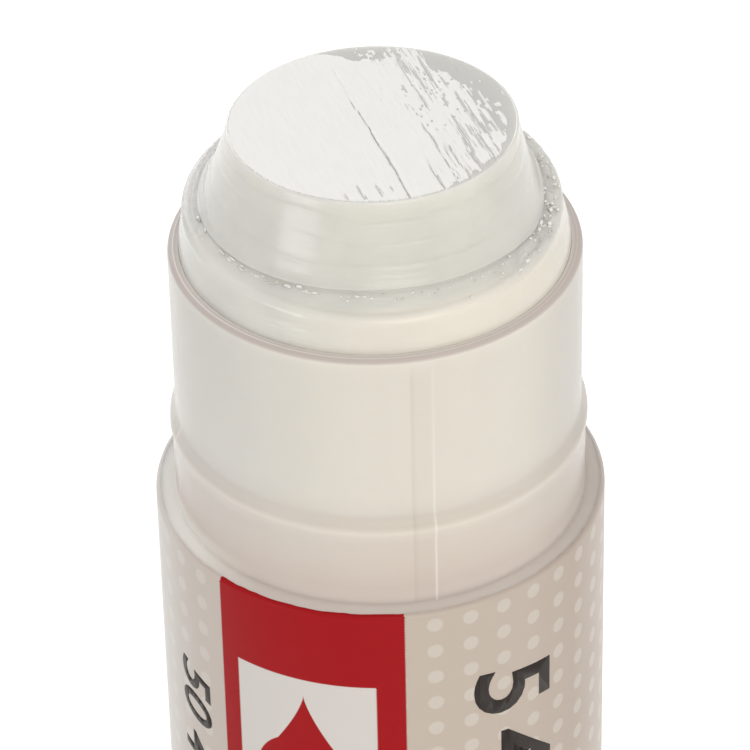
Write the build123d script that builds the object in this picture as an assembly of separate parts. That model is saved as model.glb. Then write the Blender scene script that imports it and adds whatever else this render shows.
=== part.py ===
from build123d import *
import os
from math import radians, tan

# Twist-up glue stick without its cap, with the glue turned up out of the neck.
# Millimetres and degrees. +Z runs up the stick's axis, the origin is the centre of the base's foot,
# and the front of the label faces -Y.

# Clearances between pieces
running_clearance = 0.1      # knob collar in the foot of the barrel, radial
sliding_clearance = 0.2      # carrier against the bore and its ribs
glue_clearance = 0.35        # glue against the bore and its ribs
thread_clearance = 0.3       # spindle thread in the nut and in the glue's blind bore
knob_gap = 0.2               # between the knob's shoulder and the barrel's foot
carrier_gap = 0.3            # between the fully lowered carrier and the knob's collar

# Barrel: body, shoulder and neck in one moulding
body_radius = 15.0
body_length = 68.0
shoulder_rounding = 0.3
shoulder_width = 1.25        # flat ring between the body and the neck, where the cap stops
neck_step = 0.25             # how much slimmer the neck is above the snap bead than below it
neck_length = 19.4
neck_wall = 0.75
mouth_rounding = 0.2
bead_proud = 0.2             # corner of the bead beyond the neck below it
bead_rise = 5.9              # middle of the bead above the shoulder
bead_half_height = 1.0
bead_rounding = 3.0
foot_wall = 1.4              # wall at the foot, where a wider bore takes the knob's collar
foot_bore_depth = 8.6

# Key ribs inside the barrel, which keep the carrier and the glue from turning
rib_count = 4
rib_heading = -78.5
rib_width = 1.45
rib_height = 0.5
rib_lead = 0.8
rib_rise = 8.9               # top of the ribs above the shoulder
rib_root = 0.3               # how deep a rib is rooted in the barrel's wall

# Snap ring on the collar and its groove in the barrel
snap_rise = 4.0              # middle of the ring above the barrel's foot
snap_proud = 0.35
snap_half_height = 0.7

# Printed film round the body
film_thickness = 0.08
film_foot_margin = 1.0
film_seam = 0.8
seam_heading = 90.0

# Base knob
knob_overhang = 0.2          # how far the knob stands out beyond the body
knob_height = 12.0
knob_wall = 1.6
knob_rounding = 0.5
web_thickness = 1.6
web_depth = 2.4              # top of the web below the knob's shoulder
collar_height = 8.3
collar_wall = 1.3
hub_wall = 3.0               # round the flats of the shank's socket
hub_foot = 1.2
stiffener_count = 6
stiffener_thickness = 1.2
stiffener_foot = 2.5
flute_count = 48
flute_radius = 0.7
flute_depth = 0.35
flute_margin = 1.4           # plain band below and above the flutes

# Spindle: hexagonal shank, flange and left-hand thread
lead = 5.0
root_radius = 3.2
thread_depth = 1.0
thread_root_width = 2.4
thread_crest_width = 1.0
thread_embed = 0.3           # how deep a thread is rooted in what carries it
thread_plain = 0.8           # plain core below and above the thread
tip_chamfer = 0.6
flange_overhang = 1.0        # how far the flange stands out beyond the thread
flange_thickness = 1.2
shank_flat_radius = 3.0      # half of the size across flats
shank_length = 7.4

# Carrier: piston cup with a nut below its floor
floor_thickness = 1.4
cup_depth = 3.6
cup_wall = 0.9
nut_length = 8.0
nut_wall = 2.0
nut_root_width = 3.2         # the nut's thread, which lies midway between the spindle's turns
nut_crest_width = 2.0
thread_hold = 5.0            # thread left in the nut when the carrier is at its highest

# Glue, as it stands in the pose that is modelled
ledge_rise = 3.1             # ledge above the barrel's mouth
ledge_width = 1.1
nose_height = 5.93
nose_inset = 3.0             # how much slimmer the column is at the nose's top
nose_hollow = 0.15           # how far the nose's side curves inwards
bore_roof = 1.0              # glue over the spindle's tip when fully lowered
top_slope = 1.26             # angle of the scraped top
top_heading = -70.6          # direction in which the top rises

# Turns of the knob from the modelled pose to its two stops
turns_down = 2
turns_up = 10

cut_overrun = 2.0            # how far cutting tools reach past what they cut
full_turn = 360.0            # degrees

# Radii worked out from the sizes
seat_radius = body_radius - shoulder_width       # neck below the snap bead
neck_radius = seat_radius - neck_step            # neck above the snap bead, which the cap slides over
bead_radius = seat_radius + bead_proud
bore_radius = neck_radius - neck_wall
foot_bore_radius = body_radius - foot_wall
collar_radius = foot_bore_radius - running_clearance
knob_radius = body_radius + knob_overhang
hub_radius = shank_flat_radius + hub_wall
crest_radius = root_radius + thread_depth
nut_bore_radius = crest_radius + thread_clearance
nut_radius = nut_bore_radius + nut_wall
flange_radius = crest_radius + flange_overhang
piston_radius = bore_radius - sliding_clearance
cup_radius = piston_radius - cup_wall
glue_radius = bore_radius - glue_clearance
nose_top_radius = glue_radius - nose_inset

# Heights worked out from the sizes
barrel_foot = knob_height + knob_gap
shoulder = barrel_foot + body_length
mouth = shoulder + neck_length
snap = barrel_foot + snap_rise
web_top = knob_height - web_depth
web_foot = web_top - web_thickness
collar_top = knob_height + collar_height
rib_foot = barrel_foot + foot_bore_depth
rib_top = shoulder + rib_rise
carrier_lowest = collar_top + carrier_gap
carrier_foot = carrier_lowest + turns_down * lead
carrier_highest = carrier_foot + turns_up * lead
cup_floor = carrier_foot + floor_thickness
cup_top = cup_floor + cup_depth
flange_top = web_top + flange_thickness
thread_start = flange_top + thread_plain + thread_root_width / 2
spindle_top = carrier_highest - nut_length + thread_hold
ledge = mouth + ledge_rise
nose_top = ledge + nose_height
glue_bore_top = spindle_top + bore_roof + turns_down * lead


def turned(*corners):
    """Solid turned about the stick's axis from the (radius, height, rounding) corners of its outline."""
    points = [(radius, height) for radius, height, rounding in corners]
    roundings = [rounding for radius, height, rounding in corners]
    return revolve(Plane.XZ * make_face(FilletPolyline(*points, radius=roundings, close=True)), Axis.Z)


def upright(radius, foot, top):
    """Round bar on the stick's axis from height foot to height top."""
    return Pos(0, 0, foot) * Cylinder(radius, top - foot, align=(Align.CENTER, Align.CENTER, Align.MIN))


def block(inner, outer, width, foot, top):
    """Block on the +X side that reaches from one radius to another, centred on the X axis."""
    centre = Pos((inner + outer) / 2, 0, foot)
    return centre * Box(outer - inner, width, top - foot, align=(Align.CENTER, Align.CENTER, Align.MIN))


def round_the_bore(shape):
    """Copies of a shape at the headings of the key ribs."""
    return [place * shape for place in PolarLocations(0, rib_count, rib_heading)]


def keyways(inner, clearance, foot, top):
    """Slots that pass over the key ribs, from radius inner out past the bore."""
    return round_the_bore(block(inner, bore_radius, rib_width + 2 * clearance, foot, top))


def ridge(start, turns, root, crest, root_width, crest_width):
    """Left-hand helical ridge from radius root to radius crest, from height start on the +X side."""
    path = Helix(lead, turns * lead, root, center=(0, 0, start), lefthand=True)
    section = Polyline((0, -root_width / 2), (crest - root, -crest_width / 2),
                       (crest - root, crest_width / 2), (0, root_width / 2), close=True)
    place = Plane(origin=path @ 0, x_dir=(1, 0, 0), z_dir=path % 0)
    return sweep(place * make_face(section), path=path, is_frenet=True)


def make_barrel():
    """Body, shoulder and neck round one bore, with the knob's snap groove and the key ribs."""
    groove_radius = foot_bore_radius + snap_proud
    bead = shoulder + bead_rise
    shell = turned(
        (body_radius, barrel_foot, shoulder_rounding),
        (body_radius, shoulder, shoulder_rounding),
        (seat_radius, shoulder, 0),
        (seat_radius, bead - bead_half_height, 0),
        (bead_radius, bead, bead_rounding),
        (neck_radius, bead + bead_half_height, 0),
        (neck_radius, mouth, mouth_rounding),
        (bore_radius, mouth, mouth_rounding),
        (bore_radius, rib_foot, 0),
        (foot_bore_radius, rib_foot, 0),
        (foot_bore_radius, snap + snap_half_height, 0),
        (groove_radius, snap, 0),
        (foot_bore_radius, snap - snap_half_height, 0),
        (foot_bore_radius, barrel_foot, 0),
    )
    outer, inner = bore_radius + rib_root, bore_radius - rib_height
    profile = Polyline((outer, rib_foot), (inner, rib_foot + rib_lead),
                       (inner, rib_top - rib_lead), (outer, rib_top), close=True)
    rib = extrude(Plane.XZ * make_face(profile), rib_width / 2, both=True)
    return shell + round_the_bore(rib)


def make_label():
    """Clear printed film wrapped once round the body, with its seam at the back."""
    outer = body_radius + film_thickness
    foot, top = barrel_foot + film_foot_margin, shoulder - shoulder_rounding
    film = turned((body_radius, foot, 0), (outer, foot, 0), (outer, top, 0), (body_radius, top, 0))
    seam = block(body_radius - cut_overrun, outer + cut_overrun, film_seam, foot - cut_overrun, top + cut_overrun)
    return film - Rot(Z=seam_heading) * seam


def make_knob():
    """Fluted wheel with a collar and snap ring above it, and a stiffened hub under its web."""
    inner = knob_radius - knob_wall
    collar_inner = collar_radius - collar_wall
    knob = turned(
        (inner, 0, 0),
        (knob_radius, 0, knob_rounding),
        (knob_radius, knob_height, knob_rounding),
        (collar_radius, knob_height, 0),
        (collar_radius, snap - snap_half_height, 0),
        (collar_radius + snap_proud, snap, 0),
        (collar_radius, snap + snap_half_height, 0),
        (collar_radius, collar_top, knob_rounding),
        (collar_inner, collar_top, 0),
        (collar_inner, web_top, 0),
        (0, web_top, 0),
        (0, web_foot, 0),
        (inner, web_foot, 0),
    )
    knob += upright(hub_radius, hub_foot, web_top)
    stiffener = block(0, inner + knob_wall / 2, stiffener_thickness, stiffener_foot, web_top)
    knob += [place * stiffener for place in PolarLocations(0, stiffener_count)]
    knob -= make_shank(hub_foot - cut_overrun)
    flute = upright(flute_radius, flute_margin, knob_height - flute_margin)
    flute_centre = knob_radius + flute_radius - flute_depth
    return knob - [place * flute for place in PolarLocations(flute_centre, flute_count)]


def make_shank(foot):
    """Hexagonal bar from height foot up to the web, the same size for the shank and its socket."""
    hexagon = RegularPolygon(shank_flat_radius, side_count=6, major_radius=False)
    return extrude(Pos(0, 0, foot) * hexagon, web_top - foot)


def make_spindle():
    """Lead screw: shank in the knob's hub, flange on its web, and the thread up to near the shoulder."""
    spindle = make_shank(web_top - shank_length)
    spindle += upright(flange_radius, web_top, flange_top)
    core = upright(root_radius, flange_top, spindle_top)
    spindle += chamfer(core.edges().sort_by(Axis.Z)[-1], tip_chamfer)
    turns = (spindle_top - tip_chamfer - thread_plain - thread_root_width / 2 - thread_start) / lead
    return spindle + ridge(thread_start, turns, root_radius - thread_embed, crest_radius,
                           thread_root_width, thread_crest_width)


def make_carrier():
    """Piston cup with keyways for the ribs, and a nut below its floor with its own turn of thread."""
    nut_foot = carrier_foot - nut_length
    carrier = turned(
        (nut_bore_radius, nut_foot, 0),
        (nut_radius, nut_foot, 0),
        (nut_radius, carrier_foot, 0),
        (piston_radius, carrier_foot, 0),
        (piston_radius, cup_top, 0),
        (cup_radius, cup_top, 0),
        (cup_radius, cup_floor, 0),
        (nut_bore_radius, cup_floor, 0),
    )
    carrier -= keyways(bore_radius - rib_height - sliding_clearance, sliding_clearance,
                       carrier_foot - cut_overrun, cup_top + cut_overrun)
    start = nut_foot + nut_root_width / 2
    turns = (cup_floor - nut_foot - nut_root_width) / lead
    heading = (thread_start + lead / 2 - start) / lead * full_turn
    return carrier + Rot(Z=heading) * ridge(start, turns, nut_bore_radius + thread_embed,
                                            root_radius + thread_clearance, nut_root_width, nut_crest_width)


def make_glue():
    """Gel column that stands in the carrier's cup, with a ledge and a nose at its top and a blind bore below."""
    ledge_inner = glue_radius - ledge_width
    side_middle = ((ledge_inner + nose_top_radius) / 2 - nose_hollow, (ledge + nose_top) / 2)
    spread = nose_top_radius * tan(radians(top_slope))
    outline = Polyline((0, cup_floor), (cup_radius, cup_floor), (cup_radius, cup_top), (glue_radius, cup_top),
                       (glue_radius, ledge), (ledge_inner, ledge))
    outline += ThreePointArc((ledge_inner, ledge), side_middle, (nose_top_radius, nose_top))
    outline += Polyline((nose_top_radius, nose_top), (nose_top_radius, nose_top + spread),
                        (0, nose_top + spread), (0, cup_floor))
    glue = revolve(Plane.XZ * make_face(outline), Axis.Z)
    glue -= upright(nut_bore_radius, cup_floor - cut_overrun, glue_bore_top)
    groove_top = rib_top + turns_down * lead + glue_clearance
    glue -= keyways(bore_radius - rib_height - glue_clearance, glue_clearance, cup_top, groove_top)
    scraper = Box(bore_radius * 2, bore_radius * 2, nose_height, align=(Align.CENTER, Align.CENTER, Align.MIN))
    return glue - Pos(0, 0, nose_top) * Rot(Z=top_heading) * Rot(Y=-top_slope) * scraper


pieces = {
    "barrel": make_barrel(),
    "label": make_label(),
    "base_knob": make_knob(),
    "spindle": make_spindle(),
    "carrier": make_carrier(),
    "glue": make_glue(),
}

os.makedirs("parts", exist_ok=True)
for name, shape in pieces.items():
    export_step(shape, f"parts/{name}.step")
    print(f"{name}: {len(shape.solids())} solid, {shape.volume:.0f} mm3, valid {shape.is_valid}")
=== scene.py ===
from math import cos, pi, radians, sin, tau

import bmesh
import bpy
import numpy as np
from mathutils import Matrix, Vector


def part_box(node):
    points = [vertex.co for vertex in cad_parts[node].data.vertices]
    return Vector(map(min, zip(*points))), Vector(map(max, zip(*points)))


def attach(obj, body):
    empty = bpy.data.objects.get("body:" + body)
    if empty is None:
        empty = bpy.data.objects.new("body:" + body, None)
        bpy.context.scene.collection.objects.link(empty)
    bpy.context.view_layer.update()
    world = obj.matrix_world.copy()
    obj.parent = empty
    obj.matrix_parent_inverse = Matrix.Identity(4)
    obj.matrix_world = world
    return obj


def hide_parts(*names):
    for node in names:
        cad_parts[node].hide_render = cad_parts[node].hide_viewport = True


# Twist-up glue stick, uncapped, with its gel turned up out of the neck. Metres and radians.
# A heading runs from +X towards +Y. An azimuth runs from the front of the label, which faces -Y, towards +X.

mm = 0.001
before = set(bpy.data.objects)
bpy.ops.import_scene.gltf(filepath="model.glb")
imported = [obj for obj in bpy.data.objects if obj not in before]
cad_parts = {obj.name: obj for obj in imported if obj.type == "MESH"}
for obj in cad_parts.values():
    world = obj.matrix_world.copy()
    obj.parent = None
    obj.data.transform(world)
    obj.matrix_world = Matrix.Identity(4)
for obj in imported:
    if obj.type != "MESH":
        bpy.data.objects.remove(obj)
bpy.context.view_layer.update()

# Places and sizes that the frame holds
barrel_low, barrel_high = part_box("barrel")
barrel_foot, mouth, body_radius = barrel_low.z, barrel_high.z, barrel_high.x
label_low, label_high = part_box("label")
film_foot, film_radius = label_low.z, label_high.x
film_thickness = film_radius - body_radius
glue_low, glue_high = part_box("glue")
cup_floor, glue_radius = glue_low.z, glue_high.x
knob_low, knob_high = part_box("base_knob")
knob_foot, collar_top = knob_low.z, knob_high.z

# Barrel
shoulder = mouth - 19.4 * mm
shoulder_rounding = 0.3 * mm
seat_radius = body_radius - 1.25 * mm
seat_rounding = 0.12 * mm
neck_radius = seat_radius - 0.25 * mm
bore_radius = neck_radius - 0.75 * mm
mouth_rounding = 0.45 * mm
bore_rounding = 0.04 * mm
bead = shoulder + 5.9 * mm
bead_radius = seat_radius + 0.2 * mm
bead_half_height = 1.0 * mm
bead_rounding = 1.3 * mm
foot_bore_radius = body_radius - 1.4 * mm
foot_bore_top = barrel_foot + 8.6 * mm
snap = barrel_foot + 4.0 * mm
snap_half_height = 0.7 * mm
snap_proud = 0.35 * mm
rib_headings = radians(-78.5) + np.arange(4) * tau / 4
rib_width = 1.45 * mm
rib_height = 0.5 * mm
rib_lead = 0.8 * mm
rib_top = shoulder + 8.9 * mm
parting_heading = radians(14.8) - pi / 2
parting_width = 0.14 * mm
parting_height = 0.035 * mm
film_seam = 0.8 * mm
print_unit = 100 * mm   # length of film that one unit of its map covers

# Knob
knob_radius = body_radius + 0.2 * mm
knob_top = barrel_foot - 0.2 * mm
knob_wall = 1.6 * mm
knob_rounding = 0.5 * mm
web_top = knob_top - 2.4 * mm
web_foot = web_top - 1.6 * mm
web_middle = 0.4 * mm   # radius of the ring round each pole of the web
collar_radius = foot_bore_radius - 0.1 * mm
collar_wall = 1.3 * mm
flute_count = 48
flute_radius = 0.7 * mm
flute_depth = 0.35 * mm
flute_margin = 1.4 * mm
flute_run_out = 0.5 * mm
hub_radius = 6.0 * mm
hub_foot = 1.2 * mm
hub_bevel = 0.3 * mm
socket_flat_radius = 3.0 * mm
stiffener_count = 6
stiffener_thickness = 1.2 * mm
stiffener_foot = 2.5 * mm
stiffener_root = 0.3 * mm   # how deep its ends stand in the hub and the wall
stiffener_bevel = 0.15 * mm

# Glue
cup_top = cup_floor + 3.6 * mm
cup_radius = bore_radius - 1.1 * mm
glue_bore_radius = 4.5 * mm
glue_bore_top = cup_floor + 56.6 * mm
groove_depth = 0.5 * mm
groove_half_width = 1.075 * mm
groove_top = rib_top + 10.35 * mm
ledge = mouth + 3.1 * mm
ledge_rounding = 0.6 * mm
glue_fit_radius = bore_radius - 0.01 * mm   # where the soft gel fills the bore
fit_depth = 3.0 * mm
nose_top = ledge + 5.93 * mm
nose_top_radius = glue_radius - 3.0 * mm
nose_hollow = 0.15 * mm
nose_foot_flare = 0.3 * mm
top_rounding = 0.22 * mm
crown = nose_top - top_rounding
top_slope = radians(1.26)
top_heading = radians(-70.6)
scrape_heading = radians(-72.5)   # direction in which the top was scraped, with its crack and grooves
scrape_across = scrape_heading + pi / 2


def smooth(value, low, high):
    """Smooth step of an array: 0 below low, 1 above high, and 3t^2 - 2t^3 between them."""
    share = np.clip((value - low) / (high - low), 0, 1)
    return share * share * (3 - 2 * share)


def plateau(value, low, risen, falling, high):
    """0 below low and above high, 1 between risen and falling, and smooth steps between them."""
    return smooth(value, low, risen) * (1 - smooth(value, falling, high))


def bell(offset, width):
    """Bell curve of an array: e to the power of minus the square of offset over width."""
    return np.exp(-((offset / width) ** 2))


def noise(across, along, seed, cells=64):
    """Smooth noise from 0 to 1: random values on a unit lattice, blended by quintic steps.

    The lattice repeats after cells units along, so that noise round the stick closes on itself.
    """
    lattice = np.random.default_rng(seed).random((64, cells))
    row, column = np.floor(across).astype(int), np.floor(along).astype(int)
    u, v = across - row, along - column
    u, v = u**3 * (u * (6 * u - 15) + 10), v**3 * (v * (6 * v - 15) + 10)
    near, far = [lattice[line % 64, column % cells] * (1 - v) + lattice[line % 64, (column + 1) % cells] * v
                 for line in (row, row + 1)]
    return near * (1 - u) + far * u


def outline(corners, run_step, arc_steps=8, closed=True):
    """Points of an outline of (radius, height, rounding) corners.

    A rounding is an arc, whose spoke swings from one tangent point to the other. A straight run has equal
    steps no longer than run_step.
    """
    corners = np.array(corners, float)
    corner, rounding = corners[:, :2], corners[:, 2]
    back, ahead = np.roll(corner, 1, 0) - corner, np.roll(corner, -1, 0) - corner
    if not closed:
        back[0], ahead[-1] = -ahead[0], -back[-1]
    back, ahead = [way / np.linalg.norm(way, axis=1)[:, None] for way in (back, ahead)]
    half = np.arccos(np.clip((back * ahead).sum(1), -1, 1)) / 2
    reach = (rounding / np.tan(half))[:, None]
    start, end = corner + back * reach, corner + ahead * reach
    pieces = []
    for i, middle in enumerate(back + ahead):
        if rounding[i] > 0:
            centre = corner[i] + middle / np.linalg.norm(middle) * rounding[i] / sin(half[i])
            turn = pi - 2 * half[i]
            angle = np.linspace(0, turn, arc_steps + 1)[:, None]
            spokes = np.sin(turn - angle) * (start[i] - centre) + np.sin(angle) * (end[i] - centre)
            pieces.append(centre + spokes / sin(turn))
        else:
            pieces.append(corner[i : i + 1])
        if closed or i < len(corner) - 1:
            following = start[(i + 1) % len(corner)]
            steps = int(np.ceil(np.linalg.norm(following - end[i]) / run_step))
            pieces.append(np.linspace(end[i], following, steps + 1)[1:-1])
    return np.concatenate(pieces)


def turned(radius, height, heading):
    """Points (radius cos heading, radius sin heading, height), for arrays that broadcast to one shape."""
    return np.stack(np.broadcast_arrays(radius * np.cos(heading), radius * np.sin(heading), height), -1)


def quads(rows, columns, wrap_rows=False, wrap_columns=False):
    """Faces that join each vertex of a grid to its neighbours. A wrapped direction closes on itself."""
    row = np.arange(rows if wrap_rows else rows - 1)[:, None]
    column = np.arange(columns if wrap_columns else columns - 1)
    line, next_line, next_column = row * columns, (row + 1) % rows * columns, (column + 1) % columns
    ring = [line + column, line + next_column, next_line + next_column, next_line + column]
    return np.stack(ring, -1).reshape(-1, 4)


def fan(pole, ring, flipped=False):
    """Triangles that join a pole to each side of a closed ring of vertices."""
    sides = [ring, np.roll(ring, -1)]
    return np.stack([np.full(len(ring), pole), *(sides[::-1] if flipped else sides)], -1)


def add_object(name, data):
    """Object of the scene, at the origin."""
    made = bpy.data.objects.new(name, data)
    bpy.context.scene.collection.objects.link(made)
    return made


def add_mesh(name, points, *faces, sharp=40, attributes=()):
    """Object from points and face arrays, shaded smooth but for edges sharper than an angle."""
    mesh = bpy.data.meshes.new(name)
    mesh.from_pydata(points.reshape(-1, 3).tolist(), [], [face for group in faces for face in group.tolist()])
    for label, values in dict(attributes).items():
        held = mesh.attributes.new(label, "FLOAT", "POINT").data
        held.foreach_set("value", values.ravel().astype(np.float32))
    mesh.validate()
    mesh.shade_smooth()
    mesh.set_sharp_from_angle(angle=radians(sharp))
    return add_object(name, mesh)


def finish_piece(piece, body, material, slot, *replaced):
    """Gives a piece its material, the body that it rides on and the nodes that it stands for. Its slot is not
    used.
    """
    piece.data.materials.clear()
    piece.data.materials.append(material)
    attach(piece, body)
    if replaced:
        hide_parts(*replaced)


# Barrel

def off_ribs(heading):
    """Angle of each heading past the nearest key rib."""
    offset = (heading[:, None] - rib_headings + pi) % tau - pi
    return offset[np.arange(len(heading)), np.abs(offset).argmin(1)]


def barrel_headings():
    """Even headings round the barrel, with extra ones at the ribs' edges and across the parting lines."""
    rib_edges = np.array([-1.04, -1.0, -0.96, -0.88, -0.8, -0.7, 0.8, 0.85, 0.9, 0.96, 1.0, 1.04, 1.1])
    rib_edges = rib_edges * rib_width / 2 / bore_radius
    across = np.linspace(-1, 1, 9) * parting_width / seat_radius
    headings = [np.arange(320) * tau / 320, (rib_headings[:, None] + rib_edges).ravel(),
                parting_heading + across, parting_heading + pi + across]
    return np.unique(np.round(np.concatenate(headings) % tau, 6))


def barrel_tones(radius, height, heading):
    """How much darker (shade) or lighter (glint) each place of the barrel looks than its plain plastic.

    Both are painted light. A key rib seen through the neck is painted as a dark line, a dim band and a bright
    line, darkest on the left rib low on the neck, and the bead as a dim band of painted shade over a painted
    highlight.
    The mouth has two painted highlight lines, and the shoulder a painted sheen, most at the left.
    """
    off_rib = off_ribs(heading) * seat_radius
    half_width = rib_width / 2 * seat_radius / bore_radius
    rib_shade_line = bell(off_rib + half_width - 0.15 * mm, 0.10 * mm)
    rib_highlight_line = bell(off_rib - half_width + 0.02 * mm, 0.07 * mm)
    band = plateau(off_rib, -half_width, -half_width + 0.2 * mm, 0.5 * half_width, half_width)
    left_rib = smooth(np.cos(heading - rib_headings[3]), 0.9, 0.95)
    notch = left_rib * (1 - smooth(height, shoulder + 1.3 * mm, bead - 1.2 * mm))
    notch = notch * (height > shoulder + 0.6 * mm)
    flank_shade = bell(height - bead - 0.55 * mm, 0.38 * mm)
    crest_highlight = bell(height - bead + 0.02 * mm, 0.13 * mm)
    outside = (radius > neck_radius - 0.05 * mm) & (height > shoulder) & (height < mouth - mouth_rounding)
    # Painted highlights: a line on the mouth's outer rounding and a lighter inner edge
    rim_highlight = bell(radius - neck_radius + 0.38 * mm, 0.05 * mm) * (height > mouth - 0.1 * mm)
    inner_edge_light = bell(radius - bore_radius, 0.12 * mm) * (height > mouth - 0.05 * mm)
    # Painted sheen on the shoulder, most at the left
    shoulder_sheen = (np.abs(height - shoulder) < 0.4 * mm) & (radius > seat_radius - 0.15 * mm)
    left = -np.cos(heading)
    # Painted shade and painted highlights
    shade = outside * (0.12 * rib_shade_line * (1 + 7 * notch) + 0.05 * band + 0.22 * flank_shade)
    glint = outside * (0.45 * rib_highlight_line * (1 - 0.6 * smooth(height, bead, mouth)) + 0.16 * crest_highlight)
    glint = glint + rim_highlight * (0.5 + 0.25 * left) + 0.5 * inner_edge_light
    return {"shade": shade, "glint": glint + shoulder_sheen * (0.2 + 0.58 * smooth(left, 0.55, 0.95))}


def make_barrel():
    """Shell turned from its outline, with key ribs inside its bore and parting lines on its neck."""
    profile = outline([
        (body_radius, barrel_foot, shoulder_rounding),
        (body_radius, shoulder, shoulder_rounding),
        (seat_radius, shoulder, seat_rounding),
        (seat_radius, bead - bead_half_height, 0),
        (bead_radius, bead, bead_rounding),
        (neck_radius, bead + bead_half_height, 0),
        (neck_radius, mouth, mouth_rounding),
        (bore_radius, mouth, bore_rounding),
        (bore_radius, rib_top, 0),
        (bore_radius, rib_top - rib_lead, 0),
        (bore_radius, foot_bore_top + rib_lead, 0),
        (bore_radius, foot_bore_top, 0),
        (foot_bore_radius, foot_bore_top, 0),
        (foot_bore_radius, snap + snap_half_height, 0),
        (foot_bore_radius + snap_proud, snap, 0),
        (foot_bore_radius, snap - snap_half_height, 0),
        (foot_bore_radius, barrel_foot, 0),
    ], 1.2 * mm, 10)
    radius, height = profile[:, 0, None], profile[:, 1, None]
    heading = barrel_headings()
    on_bore = np.abs(radius - bore_radius) < 0.01 * mm
    lead = plateau(height, foot_bore_top, foot_bore_top + rib_lead, rib_top - rib_lead, rib_top)
    on_seat = (radius < bead_radius) & (radius > seat_radius - 0.01 * mm)
    on_seat &= (height > shoulder + 0.2 * mm) & (height < bead - bead_half_height)
    off_rib = np.abs(off_ribs(heading)) * bore_radius
    on_rib = 1 - smooth(off_rib, rib_width / 2 - 0.02 * mm, rib_width / 2 + 0.02 * mm)
    off_parting = np.abs((heading - parting_heading + pi / 2) % pi - pi / 2) * seat_radius
    inwards = rib_height * on_bore * lead * on_rib
    outwards = parting_height * on_seat * (1 - smooth(off_parting, 0, parting_width))
    points = turned(radius - inwards + outwards, height, heading)
    return add_mesh("barrel_shell", points, quads(*points.shape[:2], True, True),
                    attributes=barrel_tones(radius, height, heading))


def make_film():
    """Printed film wrapped round the body: a thin closed outline carried round from seam to seam.

    Its top edge folds over the shoulder's rounding by an angle that wanders, and thins out. Its map gives the
    arc length from the front and the drop below the shoulder.
    """
    half_seam = film_seam / body_radius / 2
    heading = radians(90) + np.linspace(half_seam, tau - half_seam, 721)
    line = np.zeros_like(heading)
    ragged = 0.5 * noise(line, heading / tau * 180, 11, 180) + 0.5 * noise(line, heading / tau * 60, 12, 60)
    share = np.linspace(0, 1, 11)[:, None]
    fold = share * (radians(62) + radians(22) * ragged)
    fold_radius, fold_height = body_radius - shoulder_rounding, shoulder - shoulder_rounding
    straight = np.linspace(film_foot, fold_height, 14)[:-1, None] * np.ones_like(heading)
    outer = shoulder_rounding + film_thickness * (1 - 0.93 * smooth(share, 0, 1))
    inner = shoulder_rounding + 0.005 * mm
    sides = []
    for wall, reach in ((shoulder_rounding + film_thickness, outer), (inner, inner)):
        over = turned(fold_radius + reach * np.cos(fold), fold_height + reach * np.sin(fold), heading)
        sides.append(np.concatenate([turned(fold_radius + wall, straight, heading), over]))
    points = np.concatenate([sides[0], sides[1][::-1]])
    rows, columns = points.shape[:2]
    first = np.arange(rows)[None, :] * columns
    film = add_mesh("label_film", points, quads(rows, columns, True), first[:, ::-1], first + columns - 1)
    x, y, z = points.reshape(-1, 3).T
    place = np.stack([np.arctan2(x, -y) * film_radius, shoulder - z], -1) / print_unit
    corner = np.zeros(len(film.data.loops), int)
    film.data.loops.foreach_get("vertex_index", corner)
    film.data.uv_layers.new(name="print").data.foreach_set("uv", place[corner].astype(np.float32).ravel())
    return film


# Glue

# Grooves that the scraper tore along the top, as it is seen from above, in millimetres:
# place across the scrape, start and end along it, half width and depth share
torn_grooves = [
    (3.85, -6.7, -0.4, 0.07, 0.85),
    (5.25, -6.5, -2.4, 0.13, 1.0),
    (5.15, -1.4, -0.1, 0.10, 0.9),
    (5.00, 0.8, 3.9, 0.08, 0.9),
    (2.97, 0.9, 8.2, 0.055, 0.9),
    (1.82, 6.2, 9.3, 0.07, 1.0),
    (3.75, 4.1, 8.6, 0.07, 1.0),
    (4.78, 5.3, 7.6, 0.14, 1.0),
    (5.95, 3.4, 7.0, 0.07, 0.9),
    (6.35, -0.7, 3.8, 0.10, 0.9),
    (6.45, 2.4, 6.0, 0.08, 0.9),
    (-4.15, 7.1, 8.1, 0.09, 0.9),
    (-3.17, 6.6, 8.4, 0.10, 1.0),
    (-2.10, 6.8, 8.5, 0.09, 0.9),
    (-1.28, 7.4, 8.2, 0.06, 0.7),
]
# Shreds of skin that are left beyond the torn edge, in the same way
left_shreds = [
    (7.60, -1.3, 1.4, 0.09, 1.0),
    (7.90, 1.5, 4.6, 0.20, 1.0),
    (8.45, 2.6, 4.2, 0.12, 1.0),
    (6.95, -2.3, -1.5, 0.20, 1.0),
    (7.25, 4.4, 6.4, 0.16, 1.0),
    (9.10, -0.7, 0.0, 0.10, 1.0),
]


def fine_scores(count=130):
    """Short fine scores among the grooves, closer together towards the torn edge."""
    rng = np.random.default_rng(5)
    place = 1.2 + 6.0 * rng.random(count) ** 0.55
    middle = rng.uniform(-7.5, 8.0, count)
    length = rng.uniform(0.3, 2.4, count)
    return np.stack([place, middle - length / 2, middle + length / 2,
                     rng.uniform(0.03, 0.055, count), rng.uniform(0.3, 0.8, count)], -1)


def groove_share(s, t, grooves, fade=0.5):
    """Depth share from 0 to 1 of the deepest groove: a bell across its line, faded in and out along it."""
    deepest = np.zeros(s.shape)
    half = fade / 2
    for place, start, end, half_width, share in grooves:
        along = plateau(t, start - half, start + half, end - half, end + half)
        deepest = np.maximum(deepest, share * along * bell(s - place, half_width))
    return deepest


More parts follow.
